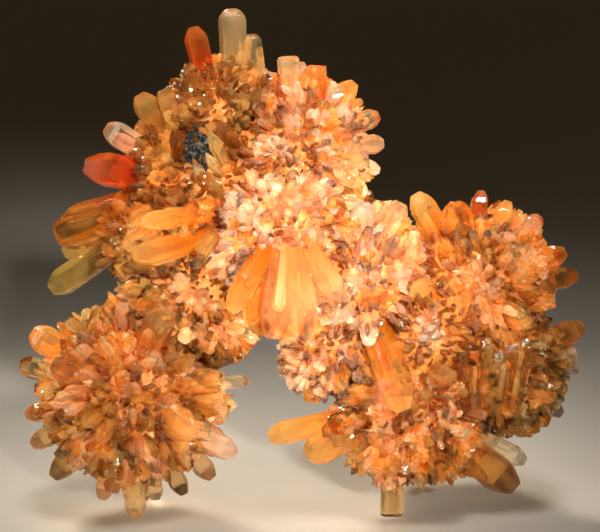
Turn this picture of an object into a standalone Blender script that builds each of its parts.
"""Creedite cluster: balls of radiating orange crystals grown together into an arch.

Run with: blender --background --python part.py
Units are metres, +Z is up and -Y is the side that faces the viewer. The origin is on the surface that
the cluster rests on, below the middle of its bounding box.
"""
import math
import random
from dataclasses import dataclass

import bmesh
import bpy
from mathutils import Euler, Matrix, Vector, noise

MM = 0.001

# Driving dimensions: the bounding box of the whole cluster
WIDTH = 80.0 * MM
DEPTH = 44.0 * MM
HEIGHT = 71.2 * MM

# A ball of crystals, as shares of its reach
CORE_SHARE = 0.66
CORE_TURNS = ((0.7, 1), (0.4, 2), (0.2, 3))
TRUNK_RADIUS = 4.4 * MM
TRUNK_SIDES = 5
ROOT_SHARE = 0.40
BURIED_SHARE = 0.96
SHORTEST_SHARE = 0.84
LEAST_SHARE = 0.72
WANDER = 0.13

# How far apart the smaller crystals stand, and how wide they are
SPACING = 6.4 * MM
FILL_WIDTH = 3.6 * MM
WIDTH_SPREAD = (0.78, 1.22)
CROWDING = 0.42

# One crystal, as shares of its half width
FLATNESS = 0.72
ROOT_TAPER = 0.80
TIP_SHARE = 1.25
APEX_SHIFT = 0.40
FILL_SIDES = 4
BLADE_SIDES = 6
BLADE_ROOT = 3.6 * MM
NEARLY_ALONG = 0.05

FLOOR_CLEARANCE = 0.7 * MM
BOX_CLEARANCE = 0.3 * MM
EDGE_SHARE = 0.5

# The dark rock that shows between the crystals at the upper left
ROCK_CENTRE = Vector((-14.3, -9.6, 52.8)) * MM
ROCK_RADII = Vector((2.6, 3.2, 3.6)) * MM
ROCK_ROUGHNESS = 0.45
ROCK_GRAIN = 1.9
ROCK_GAP = 0.3 * MM
ROCK_VIEW_RADIUS = 3.0 * MM

SEED = 88


@dataclass(frozen=True)
class Spray:
    """One ball of crystals that start near its centre. Its sizes are in millimetres."""

    name: str
    centre: tuple
    reach: float

    def middle(self):
        return Vector(self.centre) * MM


@dataclass(frozen=True)
class Blade:
    """One large crystal of a spray. Its sizes are in millimetres.

    bearing turns in the front view from +X towards +Z, and lean tips the crystal towards the viewer.
    A crystal that touches a side of the bounding box takes its reach from that side.
    """

    spray: str
    bearing: float
    lean: float
    width: float
    reach: float = 0.0
    touches: str = ""
    shift: tuple = (0.0, 0.0, 0.0)
    roll: float = 0.0
    flat_top: bool = False
    tip_share: float = TIP_SHARE

    def direction(self):
        bearing = math.radians(self.bearing)
        lean = math.radians(self.lean)
        across = math.cos(lean)
        return Vector((across * math.cos(bearing), -math.sin(lean), across * math.sin(bearing)))


SPRAYS = (
    Spray("lower_left", (-24.2, -4.5, 17.1), 15.4),
    Spray("neck", (-15.4, -3.2, 30.8), 11.6),
    Spray("left_root", (-21.7, -4.0, 39.3), 8.0),
    Spray("upper_left", (-14.2, -3.0, 46.4), 13.0),
    Spray("brow", (-11.2, -3.0, 55.8), 9.6),
    Spray("crown", (-1.6, -2.0, 51.4), 12.8),
    Spray("face", (-3.4, -9.0, 41.0), 12.4),
    Spray("saddle", (7.6, -5.0, 33.0), 12.4),
    Spray("inner_right", (4.6, -5.0, 24.4), 9.4),
    Spray("right", (24.0, -1.0, 31.6), 13.3),
    Spray("waist", (17.6, -5.0, 25.6), 11.2),
    Spray("lower_right", (15.2, -5.0, 15.6), 13.6),
    Spray("far_right", (27.6, -2.0, 20.4), 11.6),
    Spray("upper_back", (-6.4, 8.6, 45.6), 12.6),
    Spray("mid_back", (5.6, 6.0, 33.8), 12.0),
    Spray("lower_back", (18.0, 8.0, 16.0), 13.6),
)

# Neighbouring balls whose middles have grown together
TRUNKS = (
    ("lower_left", "neck"),
    ("neck", "upper_left"),
    ("neck", "face"),
    ("face", "saddle"),
    ("saddle", "mid_back"),
    ("saddle", "right"),
    ("waist", "far_right"),
    ("lower_right", "lower_back"),
    ("mid_back", "lower_back"),
)

BLADES = (
    # Top: the tall pair, the red one beside them and the shorter ones to the right
    Blade("crown", 92, -2, 3.9, touches="top", shift=(-7.6, 0.0, 0.0), tip_share=0.8),
    Blade("crown", 98, -3, 2.6, reach=16.4, shift=(-3.4, 0.0, 0.0), tip_share=0.8),
    Blade("brow", 104, -3, 3.2, reach=13.4, shift=(-0.8, 0.0, 0.0), tip_share=1.1),
    Blade("crown", 92, 8, 2.9, reach=13.4, flat_top=True),
    Blade("crown", 84, 9, 2.1, reach=13.0),
    Blade("crown", 74, 17, 4.0, reach=13.6, tip_share=1.1),
    Blade("crown", 47, 0, 3.2, reach=13.0),
    Blade("crown", 22, 0, 2.6, reach=13.2, tip_share=1.0),
    Blade("crown", 5, 5, 2.6, reach=13.0, tip_share=1.0),
    Blade("crown", -15, -9, 2.4, reach=13.0),
    # Left side of the upper part
    Blade("upper_left", 168, 9, 5.0, reach=16.8),
    Blade("upper_left", -162, 5, 6.0, reach=21.6, tip_share=1.1),
    Blade("upper_left", -153, -4, 3.4, reach=22.0),
    Blade("upper_left", -144, -8, 4.0, reach=27.0),
    Blade("upper_left", 149, -6, 3.6, reach=15.8, tip_share=1.1),
    Blade("upper_left", -146, 36, 3.2, reach=15.4),
    Blade("upper_left", -160, 40, 2.8, reach=13.4),
    Blade("upper_left", -137, 19, 3.0, reach=16.8),
    Blade("upper_left", 124, -2, 3.6, reach=15.6, tip_share=1.0),
    Blade("upper_left", 110, 14, 3.2, reach=15.6),
    # Fan that hangs over the arch
    Blade("face", -124, 28, 3.4, reach=13.2),
    Blade("face", -102, 36, 5.2, reach=15.6, tip_share=1.4),
    Blade("face", -84, 36, 4.8, reach=15.8, tip_share=1.4),
    Blade("face", -58, 42, 4.4, reach=13.4),
    Blade("face", 40, 78, 2.6, touches="front"),
    Blade("saddle", -68, 37, 5.2, reach=20.6, tip_share=1.6),
    Blade("saddle", 62, 4, 3.6, reach=13.2),
    Blade("saddle", 86, 16, 3.4, reach=12.8),
    # Lower right
    Blade("lower_right", -168, 6, 3.4, reach=20.6),
    Blade("lower_right", -153, 2, 4.6, reach=16.6, tip_share=1.0),
    Blade("lower_right", -170, 32, 3.4, reach=15.0),
    Blade("lower_right", -39, 2, 5.2, reach=19.4, tip_share=1.3),
    Blade("lower_right", -28, -2, 3.0, reach=18.6),
    Blade("lower_right", -90, 0, 3.2, touches="floor", shift=(-2.7, -2.6, 0.0), flat_top=True),
    # Right side
    Blade("right", 121, 7, 3.8, reach=16.2, tip_share=1.2),
    Blade("right", 103, 20, 4.4, reach=14.2, tip_share=0.9),
    Blade("right", 86, 8, 2.2, reach=14.4),
    Blade("right", 69, 6, 2.6, reach=13.6),
    Blade("right", 49, 8, 2.6, reach=14.2, tip_share=1.0),
    Blade("right", 23, 8, 3.2, reach=14.2),
    Blade("right", 6, 0, 3.2, reach=15.0),
    Blade("far_right", 24, -4, 3.6, touches="right"),
    Blade("far_right", 4, 2, 3.6, reach=11.4, flat_top=True),
    Blade("far_right", -38, 0, 2.6, reach=11.8),
    # Lower left ball
    Blade("lower_left", 165, 2, 3.0, touches="left", tip_share=1.2),
    Blade("lower_left", 146, 8, 4.2, reach=16.8, tip_share=1.0),
    Blade("lower_left", -106, 10, 2.8, reach=15.8),
    Blade("lower_left", -88, 17, 3.0, touches="floor"),
    Blade("lower_left", -80, -14, 2.8, touches="floor"),
    Blade("lower_left", -63, 5, 2.8, reach=16.4),
    Blade("lower_left", -47, 4, 2.8, reach=16.8),
    Blade("lower_left", -31, 5, 3.2, reach=17.2),
    Blade("lower_left", 85, 5, 2.6, reach=16.2),
    Blade("lower_left", 70, 30, 4.4, reach=17.0, tip_share=1.0),
    Blade("lower_left", 52, 17, 3.2, reach=17.6),
    Blade("lower_left", 20, -5, 2.4, reach=17.4),
    Blade("lower_left", 7, 5, 1.8, reach=16.8),
    Blade("lower_left", 147, 38, 4.4, reach=15.6),
    Blade("lower_left", -16, 52, 4.6, reach=15.6),
    Blade("lower_left", -168, 2, 2.6, reach=15.4),
    Blade("lower_left", -153, 8, 3.0, reach=16.0),
    Blade("lower_left", -133, 5, 3.4, reach=16.6),
    # Back
    Blade("lower_back", -96, -18, 4.2, touches="floor", tip_share=0.9),
    Blade("lower_back", 40, -76, 3.6, touches="back"),
    Blade("upper_back", 118, -40, 4.2, reach=15.4),
    Blade("upper_back", 170, -38, 4.0, reach=15.8),
    Blade("upper_back", 60, -34, 3.6, reach=14.8),
)

# Each side of the bounding box: the axis it stops, its sign and its distance from the origin
SIDES = {
    "left": (0, -1, WIDTH / 2),
    "right": (0, 1, WIDTH / 2),
    "front": (1, -1, DEPTH / 2),
    "back": (1, 1, DEPTH / 2),
    "floor": (2, -1, 0.0),
    "top": (2, 1, HEIGHT),
}


def clear_scene():
    for thing in list(bpy.data.objects):
        bpy.data.objects.remove(thing, do_unlink=True)


def new_collection(name):
    made = bpy.data.collections.new(name)
    bpy.context.scene.collection.children.link(made)
    return made


def object_from(mesh_maker, name, collection):
    """Turns a bmesh into an object of the collection."""
    mesh = bpy.data.meshes.new(name)
    mesh_maker.to_mesh(mesh)
    mesh_maker.free()
    made = bpy.data.objects.new(name, mesh)
    collection.objects.link(made)
    return made


def aimed(root, direction, roll):
    """A matrix that stands local Z along direction, with local X in the picture plane before the roll."""
    toward_viewer = Vector((0, -1, 0))
    wide = direction.cross(toward_viewer)
    if wide.length < NEARLY_ALONG:
        wide = Vector((1, 0, 0))
    wide.normalize()
    thick = direction.cross(wide).normalized()
    turn = Matrix((wide, thick, direction)).transposed().to_4x4()
    return Matrix.Translation(root) @ turn @ Matrix.Rotation(roll, 4, "Z")


def add_crystal(collection, root, direction, length, width, roll, sides, tip_share, apex):
    """A flattened prism that widens from its root and ends in a point, or flat where tip_share is 0."""
    half = width / 2
    tip = half * tip_share
    shaft = length - tip
    crystal = bmesh.new()
    bmesh.ops.create_cone(
        crystal,
        cap_ends=True,
        segments=sides,
        radius1=half * ROOT_TAPER,
        radius2=half,
        depth=shaft,
        matrix=Matrix.Diagonal((1, FLATNESS, 1, 1)) @ Matrix.Translation((0, 0, shaft / 2)),
    )
    if tip:
        crystal.faces.ensure_lookup_table()
        cap = max(crystal.faces, key=lambda face: face.calc_center_median().z)
        point = bmesh.ops.poke(crystal, faces=[cap], offset=tip)["verts"][0]
        point.co.x += apex[0] * half
        point.co.y += apex[1] * half * FLATNESS
    crystal.transform(aimed(root, direction, roll))
    return object_from(crystal, f"crystal_{len(collection.objects):03d}", collection)


def reach_to_side(start, direction, side):
    """The distance along direction from start to a side of the bounding box."""
    axis, sign, distance = SIDES[side]
    return (sign * distance - start[axis]) / direction[axis]


def room_along(start, direction, half, wanted):
    """The wanted reach, cut so that the crystal stays inside the bounding box and off the floor."""
    reach = wanted
    for side, (axis, sign, _) in SIDES.items():
        run = sign * direction[axis]
        if run < NEARLY_ALONG:
            continue
        clearance = FLOOR_CLEARANCE if side == "floor" else BOX_CLEARANCE
        sideways = half * math.sqrt(max(0.0, 1 - run * run))
        room = reach_to_side(start, direction, side) - (clearance + EDGE_SHARE * sideways) / run
        reach = min(reach, room)
    return reach


def ball_directions(count, wander, numbers):
    """Unit vectors spread evenly over a ball by the golden angle, then disturbed."""
    golden = math.pi * (3 - math.sqrt(5))
    for index in range(count):
        height = 1 - (2 * index + 1) / count
        ring = math.sqrt(1 - height * height)
        turn = golden * index
        even = Vector((ring * math.cos(turn), ring * math.sin(turn), height))
        yield (even + Vector([numbers.gauss(0, wander) for _ in range(3)])).normalized()


def hides_rock(tip):
    """True where a crystal would stand in front of the dark rock."""
    off = tip - ROCK_CENTRE
    return math.hypot(off.x, off.z) < ROCK_VIEW_RADIUS and off.y < ROCK_RADII.y


def buried(tip, own):
    return any(
        (tip - spray.middle()).length < spray.reach * MM * BURIED_SHARE
        for spray in SPRAYS
        if spray is not own
    )


def crowded(direction, taken, width, reach):
    """True where a large crystal already fills that direction."""
    return any(
        direction.angle(other) * reach < CROWDING * (width + other_width)
        for other, other_width in taken
    )


def add_blades(collection):
    """The large crystals, one by one. Returns the directions that they fill in each spray."""
    middles = {spray.name: spray.middle() for spray in SPRAYS}
    taken = {spray.name: [] for spray in SPRAYS}
    for blade in BLADES:
        start = middles[blade.spray] + Vector(blade.shift) * MM
        direction = blade.direction()
        reach = reach_to_side(start, direction, blade.touches) if blade.touches else blade.reach * MM
        add_crystal(
            collection,
            start + direction * BLADE_ROOT,
            direction,
            reach - BLADE_ROOT,
            blade.width * MM,
            math.radians(blade.roll),
            BLADE_SIDES,
            0 if blade.flat_top else blade.tip_share,
            (0, 0),
        )
        taken[blade.spray].append((direction, blade.width * MM))
    return taken


def add_fill(collection, taken):
    """The smaller crystals that fill each ball between its large ones."""
    for index, spray in enumerate(SPRAYS):
        numbers = random.Random(SEED + index)
        middle = spray.middle()
        count = round(4 * math.pi * (spray.reach * MM / SPACING) ** 2)
        for direction in ball_directions(count, WANDER, numbers):
            share = numbers.uniform(SHORTEST_SHARE, 1.0)
            width = FILL_WIDTH * numbers.uniform(*WIDTH_SPREAD)
            roll = numbers.uniform(0, math.pi)
            apex = (numbers.uniform(-APEX_SHIFT, APEX_SHIFT), numbers.uniform(-APEX_SHIFT, APEX_SHIFT))
            reach = room_along(middle, direction, width / 2, spray.reach * MM * share)
            tip = middle + direction * reach
            if (
                reach < LEAST_SHARE * spray.reach * MM
                or buried(tip, spray)
                or hides_rock(tip)
                or crowded(direction, taken[spray.name], width, reach)
            ):
                continue
            root_at = ROOT_SHARE * spray.reach * MM
            add_crystal(
                collection,
                middle + direction * root_at,
                direction,
                reach - root_at,
                width,
                roll,
                FILL_SIDES,
                TIP_SHARE,
                apex,
            )


def add_cores(collection):
    """The massive middle of each ball, which its crystals grow out of."""
    for index, spray in enumerate(SPRAYS):
        turned = Euler([start + step * index for start, step in CORE_TURNS]).to_matrix().to_4x4()
        core = bmesh.new()
        bmesh.ops.create_icosphere(
            core,
            subdivisions=1,
            radius=spray.reach * MM * CORE_SHARE,
            matrix=Matrix.Translation(spray.middle()) @ turned,
        )
        object_from(core, f"core_{spray.name}", collection)


def add_trunks(collection):
    """A prism between the middles of each two balls that have grown together."""
    middles = {spray.name: spray.middle() for spray in SPRAYS}
    for start_name, end_name in TRUNKS:
        start = middles[start_name]
        way = middles[end_name] - start
        trunk = bmesh.new()
        bmesh.ops.create_cone(
            trunk,
            cap_ends=True,
            segments=TRUNK_SIDES,
            radius1=TRUNK_RADIUS,
            radius2=TRUNK_RADIUS,
            depth=way.length,
            matrix=Matrix.Translation((0, 0, way.length / 2)),
        )
        trunk.transform(aimed(start, way.normalized(), 0.0))
        object_from(trunk, f"trunk_{start_name}_{end_name}", collection)


def rock_lump(name, grow, collection):
    """The rough lump of dark rock, grown by a margin for the pocket that holds it."""
    lump = bmesh.new()
    bmesh.ops.create_icosphere(lump, subdivisions=2, radius=1.0)
    for vertex in lump.verts:
        swell = 1 + ROCK_ROUGHNESS * noise.noise(vertex.co * ROCK_GRAIN)
        radii = ROCK_RADII + Vector((grow, grow, grow))
        vertex.co = ROCK_CENTRE + Vector([vertex.co[i] * radii[i] for i in range(3)]) * swell
    return object_from(lump, name, collection)


def material(name, colour, roughness, metallic=0.0):
    made = bpy.data.materials.new(name)
    made.use_nodes = True
    shader = made.node_tree.nodes["Principled BSDF"]
    shader.inputs["Base Color"].default_value = (*colour, 1)
    shader.inputs["Roughness"].default_value = roughness
    shader.inputs["Metallic"].default_value = metallic
    return made


def hide_helpers(collection):
    for helper in collection.objects:
        helper.hide_render = True
        helper.display_type = "WIRE"


def boolean(target, operation, other):
    """Adds an exact Boolean with one object or with a collection of overlapping ones."""
    modifier = target.modifiers.new(operation.lower(), "BOOLEAN")
    modifier.solver = "EXACT"
    modifier.operation = operation
    if isinstance(other, bpy.types.Collection):
        modifier.operand_type = "COLLECTION"
        modifier.collection = other
    else:
        modifier.object = other


def main():
    clear_scene()
    cluster_parts = new_collection("creedite_cluster")
    crystals = new_collection("crystals_to_join")
    cutters = new_collection("cutters")

    add_cores(crystals)
    add_trunks(crystals)
    taken = add_blades(crystals)
    add_fill(crystals, taken)

    cluster = crystals.objects[f"core_{SPRAYS[0].name}"]
    crystals.objects.unlink(cluster)
    cluster_parts.objects.link(cluster)
    cluster.name = "creedite_crystals"
    hide_helpers(crystals)
    boolean(cluster, "UNION", crystals)
    pocket = rock_lump("rock_pocket", ROCK_GAP, cutters)
    hide_helpers(cutters)
    boolean(cluster, "DIFFERENCE", pocket)
    cluster.data.materials.append(material("creedite", (0.86, 0.42, 0.16), 0.12))

    rock = rock_lump("dark_rock", 0.0, cluster_parts)
    rock.data.materials.append(material("dark_rock", (0.06, 0.06, 0.07), 0.45, 0.3))


main()
